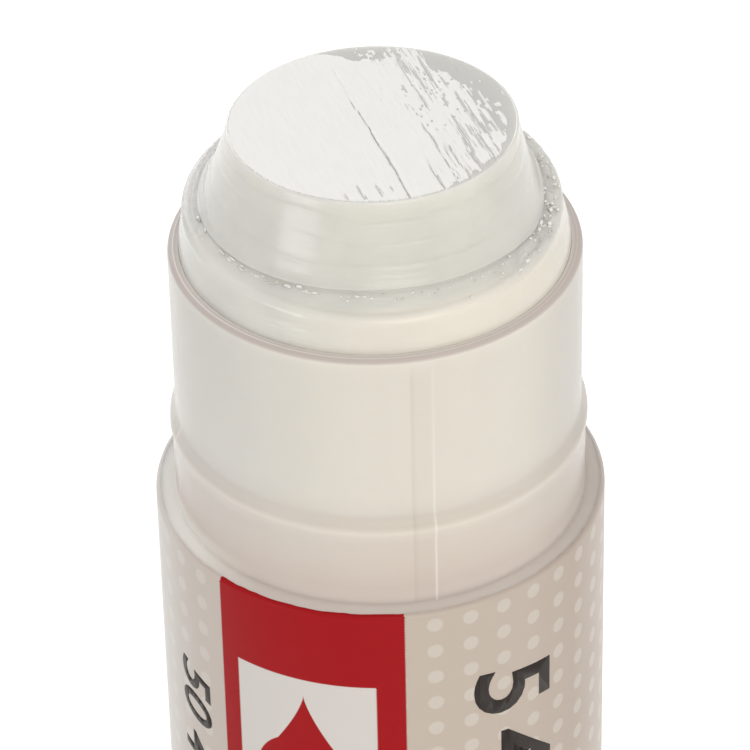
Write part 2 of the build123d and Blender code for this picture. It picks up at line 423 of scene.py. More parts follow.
def top_form(s, t):
    """Depth below the scraped plane, and how much of the dried skin is left, at (across, along) places in mm.

    The skin is whole on the left, grooved and thin towards the right, and beyond a ragged edge only shreds
    and dust of it are left. It stops short of the rim. Slow noise makes every groove wander.
    """
    def wave(across, along, seed, shift=0):
        return noise(s * across + shift, t * along, seed) - 0.5

    def flakes(across, along, seed, low, high):
        return smooth(noise(s * across, t * along, seed), low, high)

    warped = s + 0.16 * wave(0.5, 0.35, 21, 5) + 0.07 * wave(2.4, 1.6, 22)
    crack = bell(warped + 0.42, 0.03 + 0.05 * smooth(t, -3, 6))
    crack = crack * (0.42 + 0.58 * smooth(t, -6, 0)) * smooth(t, -7.5, -6.5)
    breaks = 0.925 + 0.95 * wave(1.5, 1.9, 23)
    grooves = groove_share(warped, t, torn_grooves) * np.clip(breaks + 0.2, 0, 1)
    scores = groove_share(warped, t, fine_scores()) * np.clip(breaks, 0, 1)

    edge = 5.4 + 1.6 * smooth(t, -5.6, -0.8) + 1.2 * smooth(t, 3.4, 4.6)
    edge = edge + 0.8 * wave(1.9, 0.22, 24, 3) + 0.9 * wave(5.5, 0.6, 25)
    gone = smooth(s, edge - 0.1, edge + 0.1)
    flecks = flakes(5.0, 2.6, 26, 0.84, 0.9) * smooth(s, 1.8, 3.6) * (1 - smooth(t, 0.5, 3.5))
    shreds = groove_share(warped, t, left_shreds, 0.3) * flakes(4, 1.5, 27, 0.1, 0.35)
    dust = flakes(3.6, 1.3, 28, 0.83, 0.87) * plateau(s, 6.0, 6.6, 8.0, 9.0) * smooth(t, -3.5, -1.5)

    back_edge = -9.2 + 1.75 * smooth(s, -0.6, 1.8) + 0.45 * smooth(s, 1.8, 3.2) + 0.5 * wave(2.1, 0.8, 29)
    back = (1 - smooth(t, back_edge - 0.1, back_edge + 0.1)) * (1 - smooth(s, 3.5, 3.8))
    back = back * (1 - 0.9 * flakes(4.4, 3.4, 30, 0.66, 0.74) * smooth(s, 1.2, 1.8))
    worn = smooth(noise(warped * 3.8, t * 0.26, 31), 0.45, 0.85) * smooth(s, 0.6, 5.0) * 0.56
    borders = [(place, start - 0.3, end + 0.5, 3.2 * half_width, share)
               for place, start, end, half_width, share in torn_grooves]
    worn = np.maximum(worn, 0.45 * groove_share(warped, t, borders) * smooth(s, 0, 2))
    front_right = smooth(s, 0.5, 4.0) * smooth(t, -2.5, 2.0)
    bare_width = 0.10 + 0.14 * smooth(t, -4, 3) + front_right * (0.37 + 0.6 * wave(2.6, 0.1, 35))
    inset = nose_top_radius / mm - np.sqrt(s * s + t * t)
    rim_bare = 1 - smooth(inset, bare_width - 0.07, bare_width + 0.07)

    bare = np.maximum.reduce([gone, grooves, scores * 0.8, flecks * 0.9, back, crack, worn, rim_bare])
    skin = np.clip(np.maximum(1 - bare, np.minimum(np.maximum(shreds, dust), 1 - rim_bare)), 0, 1)
    swell = 0.03 * wave(0.3, 0.2, 32) + 0.006 * wave(2.6, 0.5, 33) * smooth(s, -1, 3)
    rough = 0.02 * wave(4, 1.2, 34) * (1 - skin)
    notch = 0.14 * bell(s - 3.8, 0.22) * smooth(-t, 8.0, 8.5)
    deep = 0.12 * crack + 0.07 * grooves + 0.03 * scores
    return 0.045 * (1 - skin) + deep + notch - swell - rough, skin


# The ledge that the scraper left: azimuth in degrees, then the radius and the height over the mouth of the
# nose's foot and of the ledge's outer edge, in millimetres
ledge_places = [
    (-150, 11.35, 3.75, 12.50, 3.70),
    (-118, 11.35, 3.60, 12.50, 3.50),
    (-75, 11.25, 3.35, 12.45, 3.20),
    (-38, 11.10, 3.50, 12.52, 2.90),
    (0, 10.95, 3.70, 12.60, 2.55),
    (38, 10.90, 3.60, 12.50, 2.70),
    (66, 11.15, 3.50, 12.25, 3.15),
    (92, 10.75, 3.70, 12.20, 3.35),
    (130, 11.20, 3.75, 12.40, 3.60),
]
ledge_share = np.linspace(0, 1, 14)[1:, None]   # its rows, from 0 at its outer edge to 1 at the nose's foot
on_ledge = plateau(ledge_share, 0, 0.3, 0.85, 1)


def ledge_at(azimuth):
    """Radius and height of the nose's foot and of the ledge's edge, averaged over 16 degrees."""
    table = np.array(ledge_places)
    foot_radius, foot_rise, edge_radius, edge_rise = [
        np.mean([np.interp(np.degrees(azimuth) + shift, table[:, 0], column, period=360)
                 for shift in np.linspace(-8, 8, 9)], 0) * mm
        for column in table[:, 1:].T]
    return foot_radius, mouth + foot_rise, edge_radius, mouth + edge_rise


def glue_headings(steps):
    """Headings of the glue's columns: half a turn, finer over the torn side, and its mirror image."""
    fine = int(steps * 0.64)
    half = np.concatenate([np.linspace(0, radians(95), fine, endpoint=False),
                           np.linspace(radians(95), pi, steps - fine + 1)])
    return half, np.concatenate([half, tau - half[-2:0:-1]])


def bore_rows(flat):
    """Blind bore, foot in the carrier's cup, and side up to the top of the ribs' grooves."""
    places = outline([
        (glue_bore_radius, glue_bore_top, 0),
        (glue_bore_radius, cup_floor, 0),
        (cup_radius, cup_floor, 0),
        (cup_radius, cup_top, 0),
        (glue_radius, cup_top, 0),
        (glue_radius, groove_top - fit_depth - 0.4 * mm, 0),
        (glue_fit_radius, groove_top - fit_depth, 0),
        (glue_fit_radius, groove_top - 0.15 * mm, 0),
    ], 22 * mm, closed=False)
    return places[:, 0, None] * flat, places[:, 1, None] * flat


def wall_rows(edge_radius, edge_height, round_share):
    """Side from the grooves' top to the ledge's edge: a smooth step outwards, with drips above the mouth."""
    top = edge_height - ledge_rounding
    height = groove_top + (top - groove_top) * np.linspace(0, 1, 11)[:, None]
    drips = noise(height / mm * 0.25, round_share * 110, 47, 110) - 0.7
    drips = drips + 0.4 * (noise(height / mm * 0.3, round_share * 50, 48, 50) - 0.6)
    clear = mouth + 0.1 * mm
    radius = glue_fit_radius + (edge_radius - glue_fit_radius) * smooth(height, clear, top)
    return radius + 0.05 * mm * drips * smooth(height, clear, mouth + 0.9 * mm), height


def edge_rows(edge_radius, edge_height, round_share, torn):
    """Outer edge of the ledge: a quarter circle, made ragged by noise where it is torn."""
    turn = np.linspace(0, pi / 2, 8)[1:, None]
    ragged = noise(turn * 2.2, round_share * 130, 52, 130) - 0.8
    ragged = ragged + 0.5 * noise(turn * 4.5, round_share * 260, 53, 260)
    height = edge_height - ledge_rounding * (1 - np.sin(turn)) + 0.2 * mm * torn * ragged * np.sin(turn)
    return edge_radius - ledge_rounding * (1 - np.cos(turn)), height


def ledge_rows(edge, foot_radius, foot_height, round_share, torn):
    """Ledge, a straight line from its edge to the nose's foot, plus noise.

    The noise is grain all round, and lumps and ridges where the ledge is torn.
    """
    radius, height = edge[0][-1], edge[1][-1]
    radius = radius + (foot_radius - radius) * ledge_share
    height = height + (foot_height - height) * ledge_share
    grain = noise(radius / mm * 4.1, round_share * 290, 45, 290) - 0.5
    lumps = noise(radius / mm * 1.3, round_share * 74, 44, 74) - 0.45
    ridges = np.abs(noise(radius / mm * 1.8 + round_share * 30, round_share * 34, 46, 34) - 0.5) - 0.2
    relief = (0.012 + 0.03 * torn) * grain + 0.30 * torn * lumps + (0.03 + 0.26 * torn) * ridges
    return radius, height + on_ledge * mm * relief


def nose_rows(foot_radius, foot_height, round_share):
    """Nose from its foot to its crown: a straight slope less a parabola, with a flare at its foot.

    Noise makes its turning lines, and a sharp wave of its height the scraper's passes, 1.35 mm apart.
    """
    even = np.linspace(0, 1, 33)[1:, None]
    share = 0.35 * (1 - np.cos(pi * even)) / 2 + 0.65 * even
    radius = foot_radius + (nose_top_radius - foot_radius) * share - nose_hollow * 4 * share * (1 - share)
    radius = radius + nose_foot_flare * np.exp(-share / 0.03)
    height = foot_height + (crown - foot_height) * share
    z = height / mm
    lines = noise(z * 2.4, round_share * 3, 41, 3) + 0.6 * noise(z * 5.5, round_share * 5, 42, 5) - 0.8
    slow = noise(z * 0.4, round_share * 9, 43, 9) - 0.5
    wobble = 0.7 * noise(z * 0.3, round_share * 12, 49, 12) + 0.12 * noise(z, round_share * 60, 50, 60)
    passes = (1 - np.abs(np.sin(pi * (z + wobble) / 1.35))) ** 4
    passes = passes * (0.3 + 0.7 * noise(z * 0.6, round_share * 8, 51, 8))
    fade = plateau(share, 0.02, 0.08, 0.97, 1)
    return radius + (0.03 * lines + 0.05 * slow - 0.08 * passes) * mm * fade, height


def crown_rows(flat):
    """Quarter circle between the nose and the scraped top."""
    turn = np.linspace(0, pi / 2, 6)[1:, None] * flat
    return nose_top_radius - top_rounding * (1 - np.cos(turn)), crown + top_rounding * np.sin(turn)


def slope_rise(x, y):
    """Rise of the scraped top over its middle: distance along the tilt's heading times its slope."""
    return (x * cos(top_heading) + y * sin(top_heading)) * np.tan(top_slope)


def scraped_disc(half, chords):
    """Points inside the top's rim, and the skin left there. Chord k lies at cos(half[k]) radii across."""
    disc_radius = nose_top_radius - top_rounding
    share = np.linspace(-1, 1, chords + 1)[1:-1]
    across = np.cos(half[1:-1])[:, None] * disc_radius * np.ones_like(share)
    along = np.sin(half[1:-1])[:, None] * disc_radius * share
    depth, skin = top_form(across / mm, along / mm)
    x = across * cos(scrape_across) + along * cos(scrape_heading)
    y = across * sin(scrape_across) + along * sin(scrape_heading)
    return np.stack([x, y, nose_top + slope_rise(x, y) - depth * mm], -1), skin


def disc_faces(first, steps, chords):
    """Faces of the top. Its rim starts at vertex first and has 2 x steps, and the chords' vertices follow."""
    columns, step = 2 * steps, np.arange(steps + 1)
    grid = np.zeros((steps + 1, chords + 1), int)
    grid[1:-1, 1:-1] = first + columns + np.arange((steps - 1) * (chords - 1)).reshape(steps - 1, chords - 1)
    grid[:, 0] = first + step
    grid[:, -1] = first + (columns - step) % columns
    grid[0], grid[-1] = first, first + steps
    patch = np.stack([grid[1:-2, :-1], grid[2:-1, :-1], grid[2:-1, 1:], grid[1:-2, 1:]], -1).reshape(-1, 4)
    right = np.stack([grid[0, :-1], grid[1, :-1], grid[1, 1:]], -1)
    left = np.stack([grid[-2, :-1], grid[-1, :-1], grid[-2, 1:]], -1)
    return patch, right, left


def make_glue(steps=320, chords=150):
    """Gel column from the roof of its blind bore, down, out and up its side, over the ledge and up the nose.

    The radius and height of its rows change round the column. The top is a disc of chords along the scrape.
    """
    half, around = glue_headings(steps)
    heading = around + scrape_across
    azimuth = np.angle(np.exp(1j * (heading + pi / 2)))
    round_share = (heading % tau) / tau
    flat = np.ones(len(heading))
    torn = plateau(azimuth, radians(25), radians(62), radians(125), radians(160))
    glassy_shade = plateau(-azimuth, radians(60), radians(84), radians(125), radians(160))
    foot_radius, foot_height, edge_radius, edge_height = ledge_at(azimuth)
    edge = edge_rows(edge_radius, edge_height, round_share, torn)
    lower = [bore_rows(flat), wall_rows(edge_radius, edge_height, round_share), edge]
    upper = [ledge_rows(edge, foot_radius, foot_height, round_share, torn),
             nose_rows(foot_radius, foot_height, round_share), crown_rows(flat)]
    radius, height = [np.concatenate(rows) for rows in zip(*lower, *upper)]

    grooved = (radius > glue_radius - 0.01 * mm) & (height < groove_top - 0.1 * mm) & (height >= cup_top)
    off_rib = np.abs(off_ribs(heading)) * glue_radius
    in_groove = 1 - smooth(off_rib, groove_half_width - 0.05 * mm, groove_half_width + 0.05 * mm)
    radius = radius - (groove_depth + radius - glue_radius) * grooved * in_groove
    rim = turned(radius, height, heading)
    x, y = rim[:, :, 0], rim[:, :, 1]
    rim[:, :, 2] += smooth(height, ledge + 1.2 * mm, crown) * slope_rise(x, y)
    across = x[-1] * cos(scrape_across) + y[-1] * sin(scrape_across)
    along = x[-1] * cos(scrape_heading) + y[-1] * sin(scrape_heading)
    depth, rim_skin = top_form(across / mm, along / mm)
    rim[-1, :, 2] -= depth * mm
    disc, disc_skin = scraped_disc(half, chords)

    # What the gel's material reads at each vertex: of the side, of the disc and of the bore's roof
    side = {name: np.zeros(radius.shape) for name in ("skin", "scraped", "torn_and_shaded", "crease")}
    side["skin"][-1], side["scraped"][-1] = rim_skin, 1
    first = sum(len(rows[0]) for rows in lower)
    last = first + len(ledge_share)
    # Painted shade: the torn gel's grey also darkens the smooth left of the ledge and of its edge
    side["torn_and_shaded"][first:last] = on_ledge * (0.06 + 0.34 * torn + 0.8 * glassy_shade)
    side["torn_and_shaded"][first - len(edge[0]) : first + 1] = 0.8 * glassy_shade + 0.34 * torn
    # Painted shade in the crease at the nose's foot
    side["crease"][first:last] = plateau(ledge_share, 0.68 - 0.3 * torn, 0.88, 0.97, 1) * (0.22 + 0.24 * torn)
    top = {"skin": disc_skin.ravel(), "scraped": np.ones(disc_skin.size)}
    plain = np.zeros(disc_skin.size)
    attributes = {name: np.concatenate([rows.ravel(), top.get(name, plain), [0]])
                  for name, rows in side.items()}

    points = np.concatenate([rim.reshape(-1, 3), disc.reshape(-1, 3), [[0, 0, glue_bore_top]]])
    rows, columns = radius.shape
    return add_mesh("glue_column", points, quads(rows, columns, False, True),
                    *disc_faces((rows - 1) * columns, steps, chords),
                    fan(len(points) - 1, np.arange(columns), flipped=True), attributes=attributes, sharp=50)


def make_crumbs():
    """Torn bits of gel on the ledge: balls of ten by eight faces, dented, squashed and stretched at random.

    The scraper pushed most of them to the right. Others lie at the left and along the front.
    """
    rng = np.random.default_rng(7)
    groups = (90, 34, 46)
    count = sum(groups)

    def drawn(*limits):
        return np.concatenate([rng.uniform(*pair, size) for pair, size in zip(limits, groups)])

    azimuth = np.concatenate([rng.normal(radians(80), radians(20), groups[0]),
                              rng.uniform(radians(-80), radians(-18), groups[1]),
                              rng.uniform(radians(-30), radians(75), groups[2])])
    size = drawn((0.03, 0.11), (0.03, 0.085), (0.02, 0.06)) * mm
    lie = drawn((0.05, 1.2), (0.1, 0.4), (0.08, 0.5))
    foot, foot_height, edge, edge_height = ledge_at(azimuth)
    edge = edge - 0.4 * mm
    distance = foot + (edge - foot) * lie
    past = np.clip((distance - edge + 0.2 * mm) / ledge_rounding, 0, 1)
    lift = foot_height + (edge_height - foot_height) * lie + size * rng.uniform(-0.1, 0.6, count)
    lift = lift - ledge_rounding * (1 - np.sqrt(1 - past * past))

    polar = np.linspace(0, pi, 9)[1:-1, None]
    belts = turned(np.sin(polar), np.cos(polar), np.arange(10) * tau / 10).reshape(-1, 3)
    ball = np.concatenate([[[0, 0, 1]], belts, [[0, 0, -1]]])
    dents = 1 + rng.uniform(-0.2, 0.2, (count, len(ball)))
    squash = rng.uniform(0.5, 1.6, (count, 1, 3))
    axes = np.linalg.qr(rng.normal(size=(count, 3, 3)))[0]
    axes[:, :, 0] *= np.linalg.det(axes)[:, None]
    points = np.einsum("nij,nkj->nki", axes, ball * dents[..., None] * squash) * size[:, None, None]
    tangent = np.stack([np.cos(azimuth), np.sin(azimuth), np.zeros(count)], -1)
    stretch = drawn((1.0, 1.6), (1.5, 4.5), (1.0, 2.5))
    points = points + (stretch - 1)[:, None, None] * (points @ tangent[..., None]) * tangent[:, None]
    points = points + turned(distance, lift, azimuth - pi / 2)[:, None]

    ring = np.arange(10)
    faces = fan(0, ring + 1), quads(7, 10, False, True)[:, ::-1] + 1, fan(71, ring + 61, flipped=True)
    start = np.arange(count)[:, None, None] * len(ball)
    # Three in four bits are white: dry gel, also standing as painted sparkle highlights
    dried_and_sparkle = np.repeat((rng.random(count) < 0.75).astype(float), len(ball))
    return add_mesh("glue_crumbs", points, *[(start + group).reshape(-1, group.shape[1]) for group in faces],
                    attributes={"dried_and_sparkle": dried_and_sparkle}, sharp=60)


# Knob

def make_knob():
    """Knob turned from its outline. Its flutes are the tracks of round bars that run out at both ends."""
    inner = knob_radius - knob_wall
    flute_low, flute_high = knob_foot + flute_margin, knob_top - flute_margin
    profile = outline([
        (web_middle, web_foot, 0),
        (inner, web_foot, 0.3 * mm),
        (inner, knob_foot, 0.2 * mm),
        (knob_radius, knob_foot, knob_rounding),
        (knob_radius, flute_low, 0),
        (knob_radius, flute_low + flute_run_out, 0),
        (knob_radius, flute_high - flute_run_out, 0),
        (knob_radius, flute_high, 0),
        (knob_radius, knob_top, knob_rounding),
        (collar_radius, knob_top, 0),
        (collar_radius, snap - snap_half_height, 0),
        (collar_radius + snap_proud, snap, 0),
        (collar_radius, snap + snap_half_height, 0),
        (collar_radius, collar_top, knob_rounding),
        (collar_radius - collar_wall, collar_top, 0.1 * mm),
        (collar_radius - collar_wall, web_top, 0.2 * mm),
        (web_middle, web_top, 0),
    ], 0.45 * mm, 7, closed=False)
    columns = flute_count * 14
    heading = np.arange(columns) * tau / columns
    radius, height = profile[:, 0, None], profile[:, 1, None]
    pitch = tau / flute_count
    offset = (heading + pitch / 2) % pitch - pitch / 2
    centre = knob_radius + flute_radius - flute_depth
    bar = np.sqrt(np.maximum(flute_radius**2 - (centre * np.sin(offset)) ** 2, 0))
    track = np.where(bar > 0, centre * np.cos(offset) - bar, knob_radius)
    depth = np.clip(knob_radius - track, 0, None)
    run_out = plateau(height, flute_low, flute_low + flute_run_out, flute_high - flute_run_out, flute_high)
    radius = radius - depth * run_out * (radius > knob_radius - 0.001 * mm)
    points = turned(radius, height, heading).reshape(-1, 3)
    poles = np.array([[0, 0, web_foot], [0, 0, web_top]])
    ring = np.arange(columns)
    count = len(points)
    return add_mesh("knob_shell", np.concatenate([points, poles]), quads(len(profile), columns, False, True),
                    fan(count, ring, flipped=True), fan(count + 1, count - columns + ring), sharp=32)


def make_hub():
    """Hub under the web: a ring whose hole is a hexagon, from the polar form of a regular polygon's side."""
    heading = np.arange(144) * tau / 144
    flat = socket_flat_radius / np.cos((heading + pi / 6) % (pi / 3) - pi / 6)
    top = web_foot + hub_bevel
    rows = [(flat, top), (flat, hub_foot + hub_bevel / 2), (flat + hub_bevel / 2, hub_foot),
            (hub_radius - hub_bevel, hub_foot), (hub_radius, hub_foot + hub_bevel), (hub_radius, top)]
    points = np.stack([turned(radius, height, heading) for radius, height in rows])
    return add_mesh("knob_hub", points, quads(6, 144, True, True), sharp=30)


def make_stiffeners():
    """Bevelled ribs between the hub and the knob's wall."""
    mesh = bpy.data.meshes.new("knob_stiffeners")
    build = bmesh.new()
    start, end = hub_radius - stiffener_root, knob_radius - knob_wall + stiffener_root
    top = web_foot + 0.2 * mm
    size = Matrix.Diagonal((end - start, stiffener_thickness, top - stiffener_foot, 1))
    centre = Matrix.Translation(((start + end) / 2, 0, (stiffener_foot + top) / 2))
    for heading in np.arange(stiffener_count) * tau / stiffener_count:
        bmesh.ops.create_cube(build, size=1, matrix=Matrix.Rotation(heading, 4, "Z") @ centre @ size)
    bmesh.ops.bevel(build, geom=build.edges, offset=stiffener_bevel, segments=3, profile=0.5, affect="EDGES")
    build.to_mesh(mesh)
    build.free()
    mesh.shade_smooth()
    mesh.set_sharp_from_angle(angle=radians(40))
    return add_object("knob_stiffeners", mesh)


# Printed numerals

def wrapped_text(name, body, height, arc, drop, weight, slant):
    """Text that reads downwards on the film, at an arc length from the front and a drop below the shoulder.

    The flat glyphs are cut into narrow strips, so that they follow the round film, and get a thickness.
    """
    curve = bpy.data.curves.new(name, "FONT")
    curve.body = body
    curve.size = height / 0.69   # a numeral is 0.69 of the font's size high
    curve.offset = weight
    curve.shear = slant
    curve.resolution_u = 5
    flat = add_object(name, curve)
    bpy.context.view_layer.update()
    mesh = bpy.data.meshes.new_from_object(flat)
    bpy.data.objects.remove(flat)
    build = bmesh.new()
    build.from_mesh(mesh)
    bmesh.ops.remove_doubles(build, verts=build.verts, dist=0.001 * mm)
    for cut in np.arange(-0.2, 1.3, 0.08) * height:
        bmesh.ops.bisect_plane(build, geom=build.verts[:] + build.edges[:] + build.faces[:],
                               plane_co=(0, cut, 0), plane_no=(0, 1, 0), dist=0.0005 * mm)
    build.to_mesh(mesh)
    build.free()
    place = np.zeros(len(mesh.vertices) * 3)
    mesh.vertices.foreach_get("co", place)
    x, y, _ = place.reshape(-1, 3).T
    radius = film_radius + 0.004 * mm
    mesh.vertices.foreach_set("co", turned(radius, shoulder - drop - x, (arc + y) / radius - pi / 2).ravel())
    mesh.update()
    piece = add_object(name, mesh)
    solid = piece.modifiers.new("ink", "SOLIDIFY")
    solid.thickness = 0.012 * mm
    solid.offset = 1.0
    return piece


# Materials. In their functions m is the material, or the world.

def linear(code):
    """Linear RGBA of an sRGB hex value."""
    channels = [int(code[i : i + 2], 16) / 255 for i in (0, 2, 4)]
    return (*[c / 12.92 if c <= 0.04045 else ((c + 0.055) / 1.055) ** 2.4 for c in channels], 1.0)


def new_material(name):
    """Empty node material."""
    material = bpy.data.materials.new(name)
    material.use_nodes = True
    material.node_tree.nodes.clear()
    return material


def node(m, kind, inputs=None, stops=(), **settings):
    """Adds a node with its settings.

    inputs gives a socket, by name or number, a value or another node's socket. stops are the positions and
    sRGB hex values of a colour ramp.
    """
    made = m.node_tree.nodes.new("ShaderNode" + kind)
    for name, value in settings.items():
        setattr(made, name, value)
    for socket, value in (inputs or {}).items():
        if isinstance(value, bpy.types.NodeSocket):
            m.node_tree.links.new(value, made.inputs[socket])
        else:
            made.inputs[socket].default_value = value
    if stops:
        elements = made.color_ramp.elements
        for element, (position, code) in zip((elements[0], elements[1]), (stops[0], stops[-1])):
            element.position = position
            element.color = linear(code)
        for position, code in stops[1:-1]:
            elements.new(position).color = linear(code)
    return made


# How far red, green and blue light go inside each material, as shares of one scale
gel_reach = (1.0, 0.95, 0.85)
milk_reach = (1.0, 0.9, 0.8)
plastic_reach = (1.0, 0.6, 0.5)

# Widths of the patterns. The grains of gel, plastic and ink are really finer than these, and are drawn this
# coarse so that they show.
gel_cloud, gel_grain, turning_line = 3.846 * mm, 0.303 * mm, 0.3846 * mm
crumb_dent = 0.25 * mm
flow_width, flow_length, barrel_grain = 5.556 * mm, 22.22 * mm, 0.3846 * mm
tone_patch, film_wrinkle, ink_cell = 3.333 * mm, 4.545 * mm, 0.1111 * mm
numeral_grain = 0.2 * mm
plastic_cloud, knob_grain, white_grain = 4.545 * mm, 0.30 * mm, 0.25 * mm


def facing(m, place, azimuth, low, high, most):
    """0 to most as a place's distance from the axis towards an azimuth goes from low to high."""
    toward = (sin(radians(azimuth)), -cos(radians(azimuth)), 0)
    reach = node(m, "VectorMath", {0: place, 1: toward}, operation="DOT_PRODUCT").outputs[1]
    return node(m, "MapRange", {"Value": reach, "From Min": low, "From Max": high, "To Max": most}).outputs[0]


def gel_material():
    """Glue-stick gel, cast and then scraped: cloudy, wet and shiny, under a dull white skin where it dried.

    Where the scraper bared the gel, light sinks deeper into the column, and it looks greyer than its sides. A
    worn skin breaks up into streaks along the scrape, a tenth of a millimetre apart.
    """
    m = new_material("glue_gel_cast")
    place = node(m, "TexCoord").outputs["Object"]
    height = node(m, "SeparateXYZ", {"Vector": place}).outputs[2]
    skin, scraped, torn_and_shaded, crease = [node(m, "Attribute", attribute_name=name).outputs["Fac"]
                                      for name in ("skin", "scraped", "torn_and_shaded", "crease")]
    along = node(m, "Mapping", {"Vector": place, "Rotation": (0, 0, scrape_heading),
                                "Scale": (1.6 * mm, 0.11 * mm, 1.0 * mm)}, vector_type="TEXTURE").outputs[0]
    shred = node(m, "TexNoise", {"Vector": along, "Scale": 1.0, "Detail": 3.0}).outputs["Fac"]
    ragged = node(m, "MapRange", {"Value": shred, "From Min": 0.3, "From Max": 0.7,
                                  "To Min": -0.4, "To Max": 0.4}).outputs[0]
    left = node(m, "Math", {0: skin, 1: ragged}, operation="ADD").outputs[0]
    left = node(m, "MapRange", {"Value": left, "From Min": 0.4, "From Max": 0.58}).outputs[0]

    # Cloudy sides, with painted warm light low down towards the right front, then the bared gel, painted
    # shade in the crease at the nose's foot, torn gel, whose grey is also painted shade on the smooth left of
    # the ledge, and dry skin
    cloud = node(m, "TexNoise", {"Vector": place, "Scale": 1 / gel_cloud, "Detail": 3.0}).outputs["Fac"]
    grains = node(m, "TexNoise", {"Vector": place, "Scale": 1 / gel_grain, "Detail": 2.0}).outputs["Fac"]
    low = node(m, "MapRange", {"Value": height, "From Min": ledge - 0.7 * mm, "From Max": ledge - 0.1 * mm,
                               "To Min": 1.0, "To Max": 0.0}).outputs[0]
    # Painted warm light, low down on the side towards the right front
    warm_glow = facing(m, place, 38, 4 * mm, 12 * mm, 0.7)
    warm_glow = node(m, "Math", {0: warm_glow, 1: low}, operation="MULTIPLY").outputs[0]
    colour = node(m, "ValToRGB", {"Fac": cloud}, stops=((0.35, "D3D2CD"), (0.65, "D9D8D2"))).outputs[0]
    bared = node(m, "ValToRGB", {"Fac": cloud}, stops=((0, "C6C6C3"), (1, "CDCCC9"))).outputs[0]
    torn = node(m, "ValToRGB", {"Fac": grains}, stops=((0.4, "BCBBB8"), (0.75, "CAC9C6"))).outputs[0]
    white = node(m, "ValToRGB", {"Fac": shred}, stops=((0.3, "EDECE9"), (0.75, "F3F2F0"))).outputs[0]
    for share, tone in ((warm_glow, linear("E9E2D6")), (scraped, bared), (crease, linear("B0AEAA")),
                        (torn_and_shaded, torn), (left, white)):
        colour = node(m, "Mix", {0: share, 6: colour, 7: tone}, data_type="RGBA").outputs[2]

    # Relief of the torn grains, of the turning lines on the side, and of the streaks in a worn skin
    streaks = (1 / gel_cloud, 1 / gel_cloud, 1 / turning_line)
    streaks = node(m, "Mapping", {"Vector": place, "Scale": streaks}).outputs[0]
    turning = node(m, "TexNoise", {"Vector": streaks, "Scale": 1.0, "Detail": 3.0}).outputs["Fac"]
    on_side = node(m, "Math", {0: 1.0, 1: scraped}, operation="SUBTRACT").outputs[0]
    worn = node(m, "Math", {0: 1.0, 1: skin}, operation="SUBTRACT").outputs[0]
    relief = 0.0
    for factors in ((grains, torn_and_shaded, 0.3), (turning, on_side, 0.26), (worn, scraped, left, 0.3)):
        part = 1.0
        for factor in factors:
            part = node(m, "Math", {0: part, 1: factor}, operation="MULTIPLY").outputs[0]
        relief = node(m, "Math", {0: relief, 1: part}, operation="ADD").outputs[0]
    bump = node(m, "Bump", {"Height": relief, "Strength": 0.6, "Distance": 0.25 * mm}).outputs[0]

    shine = node(m, "MapRange", {"Value": left, "To Min": 0.19, "To Max": 0.5}).outputs[0]
    depth = node(m, "MapRange", {"Value": height, "From Min": mouth + 1.0 * mm, "From Max": ledge,
                                 "To Min": 0.25, "To Max": 0.7}).outputs[0]
    depth = node(m, "Mix", {0: left, 2: depth, 3: 0.1}).outputs[0]
    shader = node(m, "BsdfPrincipled", {
        "Base Color": colour, "Roughness": shine, "IOR": 1.45, "Subsurface Weight": depth,
        "Subsurface Radius": gel_reach, "Subsurface Scale": 2 * mm, "Normal": bump})
    node(m, "OutputMaterial", {"Surface": shader.outputs[0]})
    return m


def crumb_material():
    """The same gel in small torn bits, wet with sharp sparkles: cloudy, or white where a bit is dry.

    The white bits also stand as painted sparkle highlights.
    """
    m = new_material("glue_gel_crumbs")
    place = node(m, "TexCoord").outputs["Object"]
    dried_and_sparkle = node(m, "Attribute", attribute_name="dried_and_sparkle").outputs["Fac"]
    dents = node(m, "TexNoise", {"Vector": place, "Scale": 1 / crumb_dent, "Detail": 2.0}).outputs["Fac"]
    cloudy = node(m, "ValToRGB", {"Fac": dents}, stops=((0, "C4C2BF"), (1, "D8D6D2"))).outputs[0]
    colour = node(m, "Mix", {0: dried_and_sparkle, 6: cloudy, 7: linear("F7F6F4")}, data_type="RGBA").outputs[2]
    bump = node(m, "Bump", {"Height": dents, "Strength": 0.4, "Distance": 0.1 * mm}).outputs[0]
    shader = node(m, "BsdfPrincipled", {
        "Base Color": colour, "Roughness": 0.1, "IOR": 1.45, "Subsurface Weight": 0.3,
        "Subsurface Radius": gel_reach, "Subsurface Scale": 0.5 * mm, "Normal": bump})
    node(m, "OutputMaterial", {"Surface": shader.outputs[0]})
    return m


